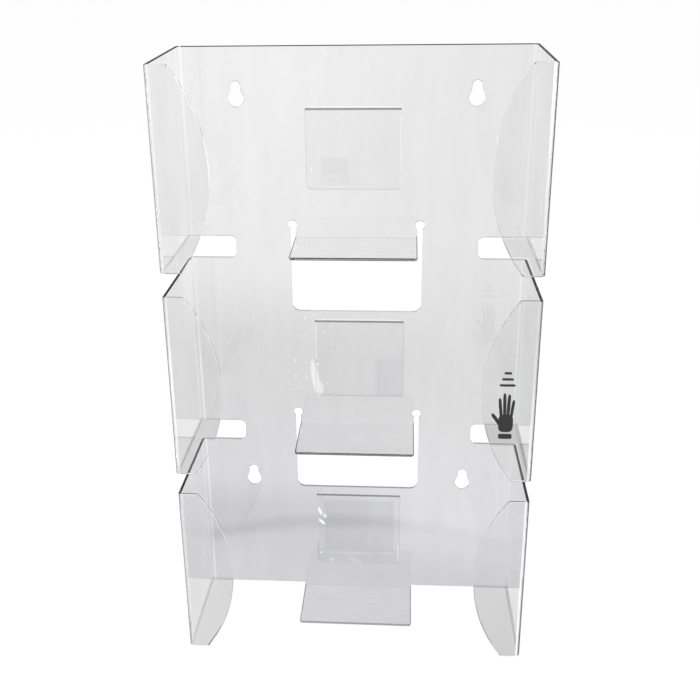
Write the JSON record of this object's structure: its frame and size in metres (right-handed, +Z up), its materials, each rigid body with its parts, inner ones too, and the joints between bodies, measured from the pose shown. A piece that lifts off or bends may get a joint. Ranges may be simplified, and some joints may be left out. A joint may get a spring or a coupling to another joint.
{
  "type": "glove box dispenser",
  "caption": "Wall rack of clear folded acrylic that holds boxes of disposable gloves one above another, with open fronts between curved lips.",
  "frame": {"origin": "centre of the four keyhole entries, on the sheet's rear face", "axes": "+X to the right seen from the front, +Y into the wall, +Z up"},
  "size_m": [0.2538, 0.0905, 0.4442],
  "materials": {
    "clear_acrylic": "clear polished acrylic sheet, 2 mm",
    "adhesive_pad": "clear double-sided adhesive pad"
  },
  "bodies": {
    "root": {"dispenser_sheet": "clear_acrylic", "upper_pad": "adhesive_pad", "middle_pad": "adhesive_pad", "lower_pad": "adhesive_pad"}
  },
  "joints": []
}
